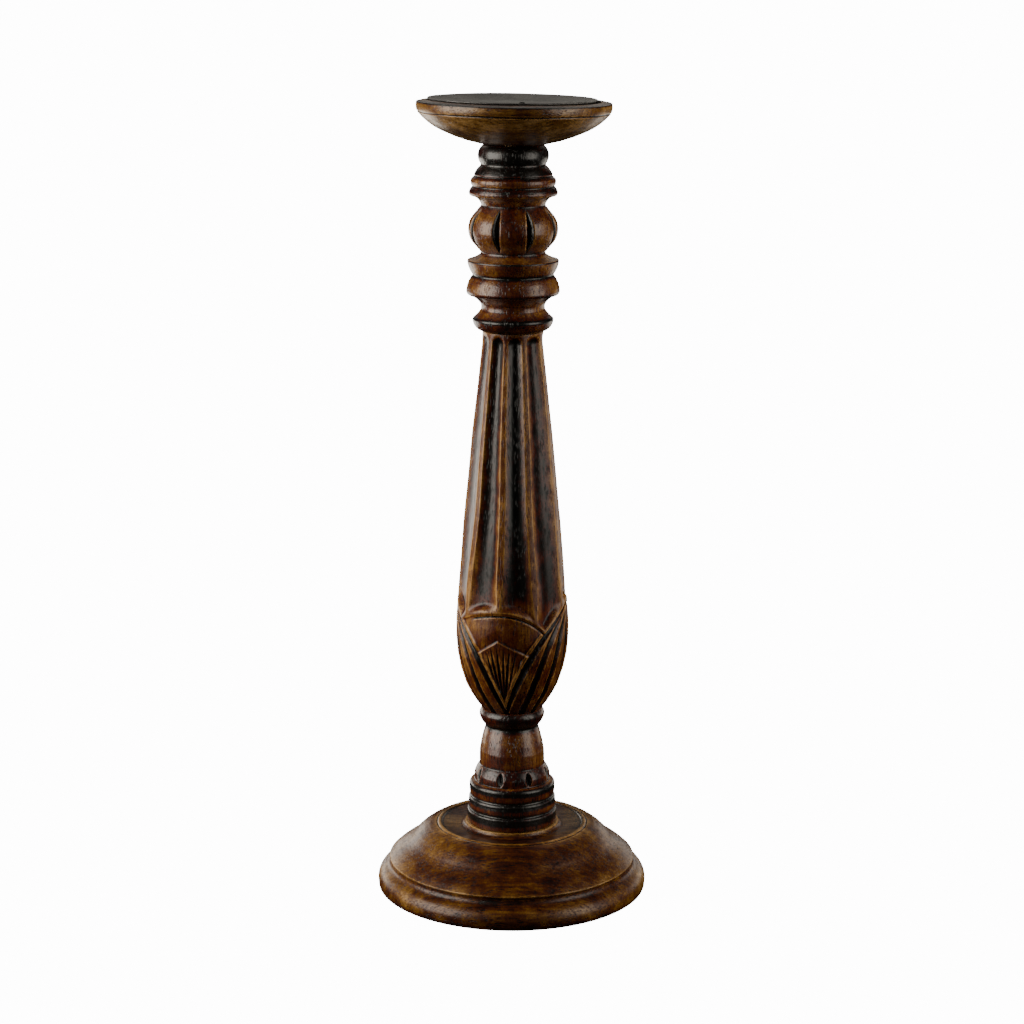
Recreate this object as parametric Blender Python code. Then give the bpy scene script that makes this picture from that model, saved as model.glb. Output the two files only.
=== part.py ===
"""Turned and carved wooden candlestick for a pillar candle.

A wide round base, a lower stem with three rings, a fluted shaft with carved leaves, a beaded
capital and a dish with a sheet-steel drip pan. The sections are pegged together with dowels, and
a coach screw from below pulls the base onto the stem.

The z axis is the axis of the stem, and the origin is the centre of the felt's underside.
Lengths in the named values are millimetres. Heights are measured from the surface it stands on.
"""

import math

import bmesh
import bpy
import numpy as np
from mathutils import Matrix, Vector

MM = 0.001
FIT = 0.3  # clearance between two touching pieces
TURNED_STEPS = 32  # sides of a large turned piece
SMALL_STEPS = 16  # sides of a dowel, screw or washer
ARC_STEP = 40.0  # degrees of arc in one straight run of an outline
SHARP_ANGLE = 32.0  # degrees between two faces that makes the edge a crisp one

# Heights of the joints between the sections
FELT_THICKNESS = 1.7
BASE_BOTTOM = FELT_THICKNESS + FIT
BASE_SEAT = 41.0
STEM_TOP = 109.4
SHAFT_BOTTOM = STEM_TOP + FIT
SHAFT_TOP = 328.6
CAPITAL_BOTTOM = SHAFT_TOP + FIT
CAPITAL_TOP = 432.0
DISH_BOTTOM = CAPITAL_TOP + 0.6

# Radii that drive the silhouette
BASE_RADIUS = 78.2
FELT_RADIUS = 72.0
DISH_RADIUS = 54.2
BULB_RADIUS = 32.3
MELON_RADIUS = 25.05

# Dish and drip pan
DISH_LEAN = 0.8  # degrees by which the dish sits out of level, its left side up
RECESS_RADIUS = 48.0
RECESS_FLOOR = 453.1
PAN_RADIUS = 47.0
PAN_FLAT_RADIUS = 34.0
PAN_THICKNESS = 0.8
PAN_RISE = 3.2
PAN_SHIFT = -0.9  # the pan lies a little to the left in its recess
PAN_SCREW_X = 4.4
PAN_SCREW_Y = -3.0
PAN_SCREW_HEAD = 1.8
PAN_SCREW_SHANK = 1.0
PAN_SCREW_LENGTH = 7.0

# Dowels and the screw under the base
DOWEL_RADIUS = 7.7
DISH_DOWEL_RADIUS = 6.0
DOWEL_DEPTH = 24.0
DISH_DOWEL_DEPTH = 11.0
DOWEL_CHAMFER = 1.0
BORE_SPARE = 1.0  # room for glue past each end of a dowel
TENON_RADIUS = 11.0
TENON_LENGTH = 13.6
COUNTERBORE_RADIUS = 14.0
COUNTERBORE_TOP = 16.0
SCREW_RADIUS = 4.0
SCREW_REACH = 78.0
SCREW_HEAD_FLATS = 13.0
SCREW_HEAD_HEIGHT = 5.5
WASHER_RADIUS = 12.0
WASHER_THICKNESS = 2.0

# Carving of the shaft
FLUTE_COUNT = 9
FLUTE_PHASE = -15.0  # degrees from the front (-Y) to the first ridge, positive to the right
RIDGE_HALF_WIDTH = 4.0  # degrees
FLUTE_DEPTH = 0.11  # share of the shaft's radius
FLUTE_TAPER = 22.0  # length over which a ridge narrows to its lower point
FLUTE_RUN_OUT = 6.0  # length over which a flute comes up to the leaves
FAN_COUNT = 2
FAN_PHASE = -10.0  # degrees from the front to the middle of a fan
LEAF_FOOT = 111.0
LEAF_TIP = 175.0
ARCH_PEAK = 172.0
ARCH_FALL = 0.0059  # millimetres of fall for each square degree off the fan's middle
CARVED_GROOVE = 0.8
SHAFT_COLUMNS = 72

# Carving of the capital and of the lower stem
MELON_NOTCHES = 8
MELON_NOTCH_PHASE = 22.5  # degrees from the front to the first notch
MELON_NOTCH_WIDTH = 3.0
MELON_NOTCH_DEPTH = 3.2
RING_NOTCHES = 8
RING_NOTCH_PHASE = 27.0
RING_NOTCH_WIDTH = 2.6
RING_NOTCH_DEPTH = 1.8


def finish(name, colour, roughness, metallic=0.0):
    """A plain Principled material."""
    material = bpy.data.materials.new(name)
    material.use_nodes = True
    shader = material.node_tree.nodes["Principled BSDF"]
    shader.inputs["Base Color"].default_value = (*colour, 1.0)
    shader.inputs["Roughness"].default_value = roughness
    shader.inputs["Metallic"].default_value = metallic
    material.diffuse_color = (*colour, 1.0)
    return material


def outline(start, *runs):
    """Points (radius, height) of an outline that goes from start through each run.

    A run (radius, height) is straight. A run (radius, height, bulge) is an arc whose middle stands
    that far off its chord, to the right of the way it runs.
    """
    points = [start]
    for run in runs:
        r0, z0 = points[-1]
        r1, z1 = run[:2]
        bulge = run[2] if len(run) > 2 else 0.0
        if not bulge:
            points.append((r1, z1))
            continue
        chord = math.hypot(r1 - r0, z1 - z0)
        radius = (chord**2 / 4 + bulge**2) / (2 * abs(bulge))
        half = math.asin(min(1.0, chord / (2 * radius)))
        side = math.copysign(1.0, bulge)
        along = Vector((r1 - r0, z1 - z0)) / chord
        right = Vector((along.y, -along.x)) * side
        centre = Vector((r0 + r1, z0 + z1)) / 2 - right * (radius - abs(bulge))
        count = max(2, round(math.degrees(2 * half) / ARC_STEP))
        for step in range(1, count + 1):
            turn = half * (2 * step / count - 1)
            point = centre + radius * (math.cos(turn) * right + math.sin(turn) * along)
            points.append((point.x, point.y))
    return points


def add_object(name, mesh, material, smooth=True):
    """Links a mesh to the scene as one named part."""
    mesh.materials.append(material)
    if smooth:
        mesh.shade_smooth()
        mesh.set_sharp_from_angle(angle=math.radians(SHARP_ANGLE))
    part = bpy.data.objects.new(name, mesh)
    bpy.context.scene.collection.objects.link(part)
    return part


def turned_mesh(name, points, steps):
    """Spins an outline about the z axis. An outline off the axis is a closed loop."""
    shape = bmesh.new()
    corners = [shape.verts.new((r * MM, 0.0, z * MM)) for r, z in points]
    on_axis = points[0][0] == 0.0 and points[-1][0] == 0.0
    pairs = list(zip(corners, corners[1:]))
    if not on_axis:
        pairs.append((corners[-1], corners[0]))
    edges = [shape.edges.new(pair) for pair in pairs]
    bmesh.ops.spin(
        shape,
        geom=corners + edges,
        cent=(0, 0, 0),
        axis=(0, 0, 1),
        angle=math.tau,
        steps=steps,
        use_duplicate=False,
    )
    bmesh.ops.remove_doubles(shape, verts=shape.verts, dist=1e-6)
    bmesh.ops.dissolve_degenerate(shape, edges=shape.edges, dist=1e-6)
    bmesh.ops.recalc_face_normals(shape, faces=shape.faces)
    mesh = bpy.data.meshes.new(name)
    shape.to_mesh(mesh)
    shape.free()
    return mesh


def turned(name, points, material, steps=TURNED_STEPS):
    return add_object(name, turned_mesh(name, points, steps), material)


def cutter(name, mesh):
    """A helper that only cuts, and is left out of renders."""
    tool = bpy.data.objects.new(name, mesh)
    tool.display_type = "WIRE"
    tool.hide_render = True
    bpy.context.scene.collection.objects.link(tool)
    return tool


def cut(part, tool):
    modifier = part.modifiers.new(tool.name, "BOOLEAN")
    modifier.operation = "DIFFERENCE"
    modifier.solver = "EXACT"
    modifier.object = tool


def heading(angle):
    """Unit vector in plan, angle in degrees from the front (-Y), positive towards +X."""
    turn = math.radians(angle)
    return Vector((math.sin(turn), -math.cos(turn), 0.0))


def notch_mesh(name, angles, low, high, radius_at, width, depth, sections=6):
    """V-shaped notches, one at each angle, that run up a round surface and fade at both ends."""
    shape = bmesh.new()
    for angle in angles:
        out = heading(angle)
        across = Vector((-out.y, out.x, 0.0))
        rings = []
        for step in range(1, sections):
            share = step / sections
            height = low + (high - low) * share
            fade = math.sin(math.pi * share) ** 0.6
            middle = out * radius_at(height) + Vector((0, 0, height))
            lip = out * (0.35 * depth * fade)
            spread = across * (0.5 * width * fade * 1.35)
            ring = (middle + lip - spread, middle + lip + spread, middle - out * depth * fade)
            rings.append([shape.verts.new(corner * MM) for corner in ring])
        foot = shape.verts.new((out * radius_at(low) + Vector((0, 0, low))) * MM)
        head = shape.verts.new((out * radius_at(high) + Vector((0, 0, high))) * MM)
        for a, b in ((0, 1), (1, 2), (2, 0)):
            shape.faces.new((foot, rings[0][b], rings[0][a]))
            shape.faces.new((head, rings[-1][a], rings[-1][b]))
            for lower, upper in zip(rings, rings[1:]):
                shape.faces.new((lower[a], lower[b], upper[b], upper[a]))
    bmesh.ops.recalc_face_normals(shape, faces=shape.faces)
    mesh = bpy.data.meshes.new(name)
    shape.to_mesh(mesh)
    shape.free()
    return mesh


def radius_from(points):
    """Radius of the outer side of an outline at a height."""
    heights = np.array([z for _, z in points])
    radii = np.array([r for r, _ in points])
    return lambda height: float(np.interp(height, heights, radii))


def around(count, phase):
    return [phase + 360.0 / count * index for index in range(count)]


def make_felt_pad(material):
    points = [(0.0, 0.0), (FELT_RADIUS, 0.0), (FELT_RADIUS, FELT_THICKNESS), (0.0, FELT_THICKNESS)]
    turned("felt_pad", points, material)


def make_base(material):
    """Wide turned foot: rounded rim, lip and cove, dome, beaded ring and a hollow up to the stem."""
    socket_floor = BASE_SEAT - TENON_LENGTH - FIT
    hole_radius = SCREW_RADIUS + FIT
    rim_edge = BASE_RADIUS - 0.3
    points = outline(
        (COUNTERBORE_RADIUS, BASE_BOTTOM),
        (rim_edge - 1.2, BASE_BOTTOM),
        (rim_edge, BASE_BOTTOM + 1.2, 0.3),
        (BASE_RADIUS, 6.4),
        (73.05, 14.2, 1.5),
        (72.6, 14.5),
        (70.9, 18.7, -0.8),
        (71.5, 19.6),
        (62.0, 26.8, 0.4),
        (56.6, 31.8, -0.25),
        (44.2, 39.8, 1.0),
        (43.4, 39.5),
        (41.7, 40.4, 0.3),
        (40.4, 39.4, 0.2),
        (30.0, 38.2, -0.3),
        (28.4, 38.6, -0.2),
        (26.9, BASE_SEAT, -0.4),
        (TENON_RADIUS + FIT, BASE_SEAT),
        (TENON_RADIUS + FIT, socket_floor),
        (hole_radius, socket_floor),
        (hole_radius, COUNTERBORE_TOP),
        (COUNTERBORE_RADIUS, COUNTERBORE_TOP),
    )
    turned("base", points, material)


def make_lower_stem(material):
    """Tenon, three rings, a notched ring, a vase-shaped neck and a collar bead."""
    tenon_foot = BASE_SEAT - TENON_LENGTH
    seat = BASE_SEAT + FIT
    neck = outline((18.8, 75.8), (18.7, 84.0, 0.05), (15.25, 98.6, 0.34))
    notched = outline((21.8, 66.4), (21.75, 70.4, 0.1), neck[0] + (0.35,))
    rings = outline(
        (TENON_RADIUS, seat),
        (25.7, seat),
        (25.9, 47.4, 0.2),
        (24.8, 49.0, 0.4),
        (24.6, 49.6),
        (25.2, 50.6, 0.1),
        (25.1, 54.8, 0.15),
        (24.1, 56.9, 0.4),
        (23.9, 57.5),
        (24.5, 58.4, 0.1),
        (24.7, 63.2, 0.15),
        (23.2, 65.8, 0.5),
        notched[0],
    )
    bead = outline((15.2, 99.4), (18.3, 103.9, 0.4), (17.8, 108.8, 0.75), (17.3, STEM_TOP))
    bore = DOWEL_RADIUS + FIT
    bore_floor = STEM_TOP - DOWEL_DEPTH - BORE_SPARE
    pilot = SCREW_RADIUS + FIT
    points = rings + notched[1:] + neck[1:] + bead
    points += [(bore, STEM_TOP), (bore, bore_floor), (pilot, bore_floor)]
    points += [(pilot, tenon_foot), (TENON_RADIUS, tenon_foot)]
    stem = turned("lower_stem", points, material)
    angles = around(RING_NOTCHES, RING_NOTCH_PHASE)
    mesh = notch_mesh(
        "ring_notches", angles, 66.9, 73.6, radius_from(notched), RING_NOTCH_WIDTH, RING_NOTCH_DEPTH
    )
    cut(stem, cutter("ring_notch_cutter", mesh))


def shaft_outline():
    """Envelope of the shaft: a leaf bulb that narrows to both ends."""
    return outline(
        (17.2, SHAFT_BOTTOM),
        (26.6, 124.8, 0.6),
        (BULB_RADIUS, 152.8, 1.2),
        (31.9, 168.0, 0.15),
        (17.2, 322.0, 1.0),
        (17.1, SHAFT_TOP),
    )


def wrap(angle, period):
    """The angle brought to within half a period of zero."""
    return (angle + period / 2) % period - period / 2


def leaf_edge(height):
    """Degrees from the middle of a fan to the pointed leaf beside it, at a height."""
    share = np.clip((height - LEAF_FOOT) / (LEAF_TIP - LEAF_FOOT), 0.0, 1.0)
    return 45.0 * share + 45.0 * share**5


def leaf_top(offset):
    """Height of the upper edge of the leaves at an angle off the middle of a fan."""
    heights = np.linspace(LEAF_FOOT, LEAF_TIP, 65)
    pointed = np.interp(np.abs(offset), leaf_edge(heights), heights)
    arch = ARCH_PEAK - ARCH_FALL * offset**2
    return np.maximum(arch, pointed)


def groove(distance, width):
    """Cross-section of a V-cut, 1 in its middle and 0 from half its width on."""
    return np.clip(1.0 - np.abs(distance) / (width / 2), 0.0, 1.0)


def carved_depth(angle, height, radius):
    """How far the carving goes in from the envelope of the shaft, in millimetres."""
    offset = wrap(angle - FAN_PHASE, 360.0 / FAN_COUNT)
    above = height - leaf_top(offset)
    degree = radius * math.pi / 180
    half_gap = 180.0 / FLUTE_COUNT
    from_ridge = np.abs(wrap(angle - FLUTE_PHASE, 2 * half_gap))
    ridge = RIDGE_HALF_WIDTH * np.sqrt(np.clip(above / FLUTE_TAPER, 0.0, 1.0))
    across = np.clip((half_gap - from_ridge) / (half_gap - ridge), 0.0, 1.0)
    hollow = FLUTE_DEPTH * radius * (1.0 - across**2)
    flutes = hollow * np.clip(above / FLUTE_RUN_OUT, 0.0, 1.0)
    beside = (np.abs(offset) - leaf_edge(height)) * degree
    edge = CARVED_GROOVE * groove(beside, 3.0) * (above < 0)
    arch = CARVED_GROOVE * groove(above + 1.5, 3.0)
    return np.where(above > 0, flutes, np.maximum(edge, arch))


def make_fluted_shaft(material):
    """Tapered shaft, its surface drawn in by the carving, bored at both ends for the dowels."""
    envelope = radius_from(shaft_outline())
    leaves = np.linspace(SHAFT_BOTTOM, LEAF_TIP + 3.0, 22)
    flutes = np.linspace(LEAF_TIP + 3.0, SHAFT_TOP, 7)[1:]
    heights = np.concatenate([leaves, flutes])
    angles = np.arange(SHAFT_COLUMNS) * 360.0 / SHAFT_COLUMNS
    shape = bmesh.new()
    rows = []
    for height in heights:
        radius = envelope(height)
        radii = radius - carved_depth(angles, np.full_like(angles, height), radius)
        ring = zip(angles, radii)
        rows.append([shape.verts.new((heading(a) * r + Vector((0, 0, height))) * MM) for a, r in ring])
    bore = DOWEL_RADIUS + FIT
    depth = DOWEL_DEPTH + BORE_SPARE
    for height in (SHAFT_TOP, SHAFT_TOP - depth):
        rows.append([shape.verts.new((heading(a) * bore + Vector((0, 0, height))) * MM) for a in angles])
    low_bore = []
    for height in (SHAFT_BOTTOM, SHAFT_BOTTOM + depth):
        low_bore.append([shape.verts.new((heading(a) * bore + Vector((0, 0, height))) * MM) for a in angles])
    rows = low_bore[::-1] + rows
    for lower, upper in zip(rows, rows[1:]):
        for index in range(SHAFT_COLUMNS):
            after = (index + 1) % SHAFT_COLUMNS
            shape.faces.new((lower[index], lower[after], upper[after], upper[index]))
    shape.faces.new(rows[0])
    shape.faces.new(rows[-1])
    bmesh.ops.recalc_face_normals(shape, faces=shape.faces)
    mesh = bpy.data.meshes.new("fluted_shaft")
    shape.to_mesh(mesh)
    shape.free()
    add_object("fluted_shaft", mesh, material)


def make_capital(material):
    """Lower ring, cove, two stepped rings, a notched melon ball, two small rings and a bead."""
    melon = outline(
        (17.95, 373.0), (22.9, 378.8), (22.9, 392.7, MELON_RADIUS - 22.9), (17.85, 398.8)
    )
    lower = outline(
        (17.4, CAPITAL_BOTTOM),
        (22.6, 334.6, 1.2),
        (22.3, 336.2, 0.2),
        (18.0, 340.8, -0.2),
        (18.0, 344.0, -0.2),
        (24.9, 349.2, -0.9),
        (26.1, 351.6, 0.4),
        (22.85, 359.8, 0.7),
        (22.6, 360.4),
        (22.9, 361.0),
        (25.6, 368.1, 0.5),
        (25.3, 368.7),
        (18.3, 371.9, -0.4),
        melon[0],
    )
    upper = outline(
        (18.0, 399.5),
        (23.4, 404.1, -1.0),
        (24.6, 405.4, 0.3),
        (24.4, 406.9, 0.15),
        (22.9, 409.1, 0.2),
        (22.8, 409.6),
        (23.6, 411.2, 0.2),
        (23.4, 413.4, 0.2),
        (21.5, 415.2, 0.1),
        (21.9, 415.8),
        (18.2, 420.8, 0.4),
        (18.2, 421.8),
        (17.5, 431.6, 1.9),
        (17.2, CAPITAL_TOP),
    )
    depth = DOWEL_DEPTH + BORE_SPARE
    bore = DOWEL_RADIUS + FIT
    dish_bore = DISH_DOWEL_RADIUS + FIT
    points = lower + melon[1:] + upper
    points += [(dish_bore, CAPITAL_TOP), (dish_bore, CAPITAL_TOP - DISH_DOWEL_DEPTH - BORE_SPARE)]
    points += [(0.0, CAPITAL_TOP - DISH_DOWEL_DEPTH - BORE_SPARE)]
    points = [(0.0, CAPITAL_BOTTOM + depth), (bore, CAPITAL_BOTTOM + depth), (bore, CAPITAL_BOTTOM)] + points
    capital = turned("capital", points, material)
    angles = around(MELON_NOTCHES, MELON_NOTCH_PHASE)
    mesh = notch_mesh(
        "melon_notches", angles, 375.0, 396.8, radius_from(melon), MELON_NOTCH_WIDTH, MELON_NOTCH_DEPTH
    )
    cut(capital, cutter("melon_notch_cutter", mesh))


def make_candle_dish(material):
    """Shallow turned bowl with a scribed band, a sloping rim and a recess for the drip pan."""
    hole = DISH_DOWEL_RADIUS + FIT + 0.2
    hole_top = DISH_BOTTOM + DISH_DOWEL_DEPTH + BORE_SPARE
    points = outline(
        (0.0, hole_top),
        (hole, hole_top),
        (hole, DISH_BOTTOM),
        (17.2, DISH_BOTTOM),
        (19.5, 432.8),
        (40.6, 439.8, 0.7),
        (53.2, 449.4, 0.87),
        (53.1, 450.0),
        (53.8, 450.6),
        (DISH_RADIUS, 453.0, 0.1),
        (53.9, 454.8),
        (53.3, 455.2, 0.1),
        (48.7, 456.2, 0.05),
        (RECESS_RADIUS, 455.8, 0.1),
        (RECESS_RADIUS - 0.6, RECESS_FLOOR),
        (0.0, RECESS_FLOOR),
    )
    return turned("candle_dish", points, material)


def make_drip_pan(material):
    """Pressed steel pan: a flat floor, a lip that curves up, and a rolled edge."""
    floor = RECESS_FLOOR + FIT
    top = floor + PAN_THICKNESS
    rim = floor + PAN_RISE + PAN_THICKNESS
    points = outline(
        (0.0, floor),
        (PAN_FLAT_RADIUS, floor),
        (PAN_RADIUS - 0.3, rim - PAN_THICKNESS, 0.5),
        (PAN_RADIUS, rim - 0.4),
        (PAN_RADIUS - 0.4, rim),
        (PAN_FLAT_RADIUS, top, -0.5),
        (0.0, top),
    )
    pan = turned("drip_pan", points, material)
    pan.location.x = PAN_SHIFT * MM
    return pan


def screw_hole(name, radius, low, high):
    """Cutter for the drip pan's screw."""
    points = [(0.0, low), (radius, low), (radius, high), (0.0, high)]
    tool = cutter(name, turned_mesh(name, points, SMALL_STEPS))
    tool.location = (PAN_SCREW_X * MM, PAN_SCREW_Y * MM, 0.0)
    return tool


def make_pan_screw(material):
    """Small round-head screw that holds the pan down."""
    seat = RECESS_FLOOR + FIT + PAN_THICKNESS + 0.15
    points = outline(
        (0.0, seat - PAN_SCREW_LENGTH - 1.0),
        (PAN_SCREW_SHANK, seat - PAN_SCREW_LENGTH),
        (PAN_SCREW_SHANK, seat),
        (PAN_SCREW_HEAD, seat),
        (PAN_SCREW_HEAD, seat + 0.3),
        (0.0, seat + 1.0, 0.3),
    )
    screw = turned("pan_screw", points, material, SMALL_STEPS)
    screw.location = (PAN_SCREW_X * MM, PAN_SCREW_Y * MM, 0.0)
    return screw


def make_dish(wood, steel, dark_steel):
    """The dish with its pan and screw, set out of level about the seat on the capital."""
    bowl = make_candle_dish(wood)
    pan = make_drip_pan(steel)
    screw = make_pan_screw(dark_steel)
    radius = PAN_SCREW_SHANK + FIT
    floor = RECESS_FLOOR - PAN_SCREW_LENGTH - FIT
    pilot = screw_hole("pan_screw_pilot", radius, floor, RECESS_FLOOR + 1.0)
    hole = screw_hole("pan_hole_punch", radius, RECESS_FLOOR - 1.0, RECESS_FLOOR + 3.0)
    cut(bowl, pilot)
    cut(pan, hole)
    seat = Vector((0.0, 0.0, DISH_BOTTOM * MM))
    lean = Matrix.Rotation(math.radians(DISH_LEAN), 4, "Y")
    about_seat = Matrix.Translation(seat) @ lean @ Matrix.Translation(-seat)
    bpy.context.view_layer.update()
    for piece in (bowl, pan, screw, pilot, hole):
        piece.matrix_world = about_seat @ piece.matrix_world


def make_dowel(name, middle, radius, depth, material):
    """Plain dowel with chamfered ends, centred on a joint."""
    low = middle - depth
    high = middle + depth
    points = [
        (0.0, low),
        (radius - DOWEL_CHAMFER, low),
        (radius, low + DOWEL_CHAMFER),
        (radius, high - DOWEL_CHAMFER),
        (radius - DOWEL_CHAMFER, high),
        (0.0, high),
    ]
    turned(name, points, material, SMALL_STEPS)


def make_base_screw(material):
    """Coach screw with a hexagon head, from the counterbore up into the lower stem."""
    head_top = COUNTERBORE_TOP - WASHER_THICKNESS - 2 * FIT
    head_foot = head_top - SCREW_HEAD_HEIGHT
    points = [
        (0.0, head_foot + SCREW_HEAD_HEIGHT / 2),
        (SCREW_RADIUS, head_foot + SCREW_HEAD_HEIGHT / 2),
        (SCREW_RADIUS, SCREW_REACH - 5.0),
        (0.4, SCREW_REACH),
        (0.0, SCREW_REACH),
    ]
    screw = turned("base_screw", points, material, SMALL_STEPS)
    corner = SCREW_HEAD_FLATS / math.sqrt(3)
    hexagon = bpy.data.meshes.new("hexagon_head")
    head = bmesh.new()
    bmesh.ops.create_cone(
        head,
        cap_ends=True,
        segments=6,
        radius1=corner * MM,
        radius2=corner * MM,
        depth=SCREW_HEAD_HEIGHT * MM,
        matrix=Matrix.Translation((0.0, 0.0, (head_foot + SCREW_HEAD_HEIGHT / 2) * MM)),
    )
    head.to_mesh(hexagon)
    head.free()
    union = screw.modifiers.new("hexagon head", "BOOLEAN")
    union.operation = "UNION"
    union.solver = "EXACT"
    union.object = cutter("hexagon_head", hexagon)


def make_base_washer(material):
    low = COUNTERBORE_TOP - WASHER_THICKNESS - FIT
    high = low + WASHER_THICKNESS
    hole = SCREW_RADIUS + FIT
    points = [(hole, low), (WASHER_RADIUS, low), (WASHER_RADIUS, high), (hole, high)]
    turned("base_washer", points, material, SMALL_STEPS)


def main():
    for leftover in list(bpy.data.objects):
        bpy.data.objects.remove(leftover, do_unlink=True)
    wood = finish("lacquered wood", (0.115, 0.042, 0.014), 0.32)
    beech = finish("beech dowel", (0.62, 0.44, 0.25), 0.7)
    pan_steel = finish("pan steel", (0.12, 0.115, 0.11), 0.45, 1.0)
    dark_steel = finish("dark steel", (0.03, 0.03, 0.032), 0.5, 1.0)
    zinc = finish("zinc plated steel", (0.55, 0.55, 0.56), 0.35, 1.0)
    felt = finish("felt", (0.02, 0.022, 0.02), 0.95)
    make_felt_pad(felt)
    make_base(wood)
    make_lower_stem(wood)
    make_fluted_shaft(wood)
    make_capital(wood)
    make_dish(wood, pan_steel, dark_steel)
    make_dowel("shaft_dowel", (STEM_TOP + SHAFT_BOTTOM) / 2, DOWEL_RADIUS, DOWEL_DEPTH, beech)
    make_dowel("capital_dowel", (SHAFT_TOP + CAPITAL_BOTTOM) / 2, DOWEL_RADIUS, DOWEL_DEPTH, beech)
    make_dowel("dish_dowel", (CAPITAL_TOP + DISH_BOTTOM) / 2, DISH_DOWEL_RADIUS, DISH_DOWEL_DEPTH, beech)
    make_base_screw(zinc)
    make_base_washer(zinc)


main()
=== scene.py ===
"""Finished look of the turned and carved wooden candlestick.

Every wooden section is turned again from its outline with a fine surface, softened arrises, carving
and small marks of hand work, and gets a stained and lacquered wood whose glaze stays in the hollows
and is rubbed off the edges, with painted shade added on the front and back and in the hollow round
the stem of the base. Lengths in the named values are millimetres.
"""

import math
import random

import bpy
import numpy as np
from mathutils import Matrix, Vector


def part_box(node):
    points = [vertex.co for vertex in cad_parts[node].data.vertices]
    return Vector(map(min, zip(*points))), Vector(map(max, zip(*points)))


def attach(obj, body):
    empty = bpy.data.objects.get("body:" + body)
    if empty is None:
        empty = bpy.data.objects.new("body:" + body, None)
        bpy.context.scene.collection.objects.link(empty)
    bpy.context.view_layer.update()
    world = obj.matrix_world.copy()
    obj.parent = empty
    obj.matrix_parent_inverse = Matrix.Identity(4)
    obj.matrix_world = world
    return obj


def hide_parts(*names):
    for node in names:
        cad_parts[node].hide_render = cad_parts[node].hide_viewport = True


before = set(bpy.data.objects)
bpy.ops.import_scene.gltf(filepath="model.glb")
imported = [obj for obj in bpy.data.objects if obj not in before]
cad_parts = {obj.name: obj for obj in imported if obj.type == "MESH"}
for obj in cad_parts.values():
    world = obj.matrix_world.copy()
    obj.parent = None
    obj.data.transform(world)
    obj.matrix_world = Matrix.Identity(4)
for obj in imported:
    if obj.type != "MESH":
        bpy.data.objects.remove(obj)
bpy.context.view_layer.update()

MM = 0.001
BODY = "root"
FIT = 0.3  # clearance between two touching pieces
CORE = 0.5  # radius of the small flat that closes a section on its axis
ARC_STEP = 7.0  # degrees of arc in one straight run of an outline
ROW_STEP = 0.55  # distance between two rows of a worked surface
CARVED_STEP = 0.42  # the same where leaves are carved
ARRIS = 0.35  # distance from a corner at which its rounding starts
SHARP_TURN = 14.0  # degrees between two runs that make a corner
CREASE = 50.0  # degrees between two faces that shade as separate ones
EDGE_WINDOW = 0.7  # reach over which an arris stands out
HOLLOW_WINDOW = 2.4  # reach over which a hollow lies deep
PAINTED_SHADE_FRONT_BACK = 0.1  # painted shade added on the front and back, and painted light on the left and right where the side lamps fall

# Heights where the sections meet, from the frame and from the seats between them
FELT_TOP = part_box("felt_pad")[1].z / MM
BASE_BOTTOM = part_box("base")[0].z / MM
BASE_SEAT = 41.0
STEM_SEAT = BASE_SEAT + FIT
STEM_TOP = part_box("lower_stem")[1].z / MM
SHAFT_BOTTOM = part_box("fluted_shaft")[0].z / MM
SHAFT_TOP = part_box("fluted_shaft")[1].z / MM
CAPITAL_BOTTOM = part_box("capital")[0].z / MM
CAPITAL_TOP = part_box("capital")[1].z / MM
DISH_BOTTOM = CAPITAL_TOP + 2 * FIT

# Bores and seats inside the sections
TENON_RADIUS = 11.0
TENON_END = 27.4
SCREW_BORE = 4.3
COUNTERBORE_RADIUS = 14.0
COUNTERBORE_TOP = 16.0
DOWEL_BORE = 8.0
DOWEL_BORE_DEPTH = 25.0
DISH_DOWEL_BORE = 6.3
DISH_BORE = 6.5
DISH_DOWEL_BORE_DEPTH = 12.0

# Dish, drip pan and the pan's screw
DISH_LEAN = 0.8  # degrees by which the dish sits out of level, its left side up
RECESS_FLOOR = 453.1
PAN_FLOOR = RECESS_FLOOR + FIT
PAN_TOP = PAN_FLOOR + 0.8
PAN_RISE = 3.2
PAN_FLAT_RADIUS = 34.0
PAN_SHIFT = -0.9  # the pan lies a little to the left in its recess
PAN_SCREW_X = 4.4
PAN_SCREW_Y = -3.0

# Carving of the shaft
NOTCH_COUNT = 8
FLUTE_COUNT = 9
FLUTE_PHASE = -15.0  # degrees from the front to the ridge before the first flute
RIDGE_HALF_WIDTH = 3.7  # degrees
RIDGE_RUN = 21.0  # height above the leaves at which a ridge has its full width
RIDGE_DRIFT = (2.0, -4.0, -0.5, 1.5, -1.0, 2.0, -1.5, 1.0, 8.0)  # degrees each ridge strays, up the shaft
DRIFT_RUN = 60.0  # height above the leaves at which a ridge has strayed that far
FLUTE_DEPTH_FOOT = 3.3
FLUTE_DEPTH_TOP = 2.3
FAN_PHASE = -10.0  # degrees from the front to the middle of the first fan
FAN_BORDER = 2.2  # width of the raised border of a fan
LEAF_FOOT = 111.0
LEAF_TIP = 175.0
LEAF_RIBS = (0.14, 0.42, 0.7)  # share of the way from the middle of a pointed leaf to its border
ARCH_PEAK = 172.0
ARCH_FALL = 0.0059  # millimetres for each squared degree off the middle of the fan
ARCH_FALL_LEFT = 0.0026
INNER_PEAK = 156.2
INNER_MIDDLE = -5.0  # degrees from the middle of a fan to that of its small leaf
INNER_FALL_LEFT = 9.7 / 27.0  # millimetres for each degree off the middle of the small leaf
INNER_FALL_RIGHT = 9.0 / 32.0
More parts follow.
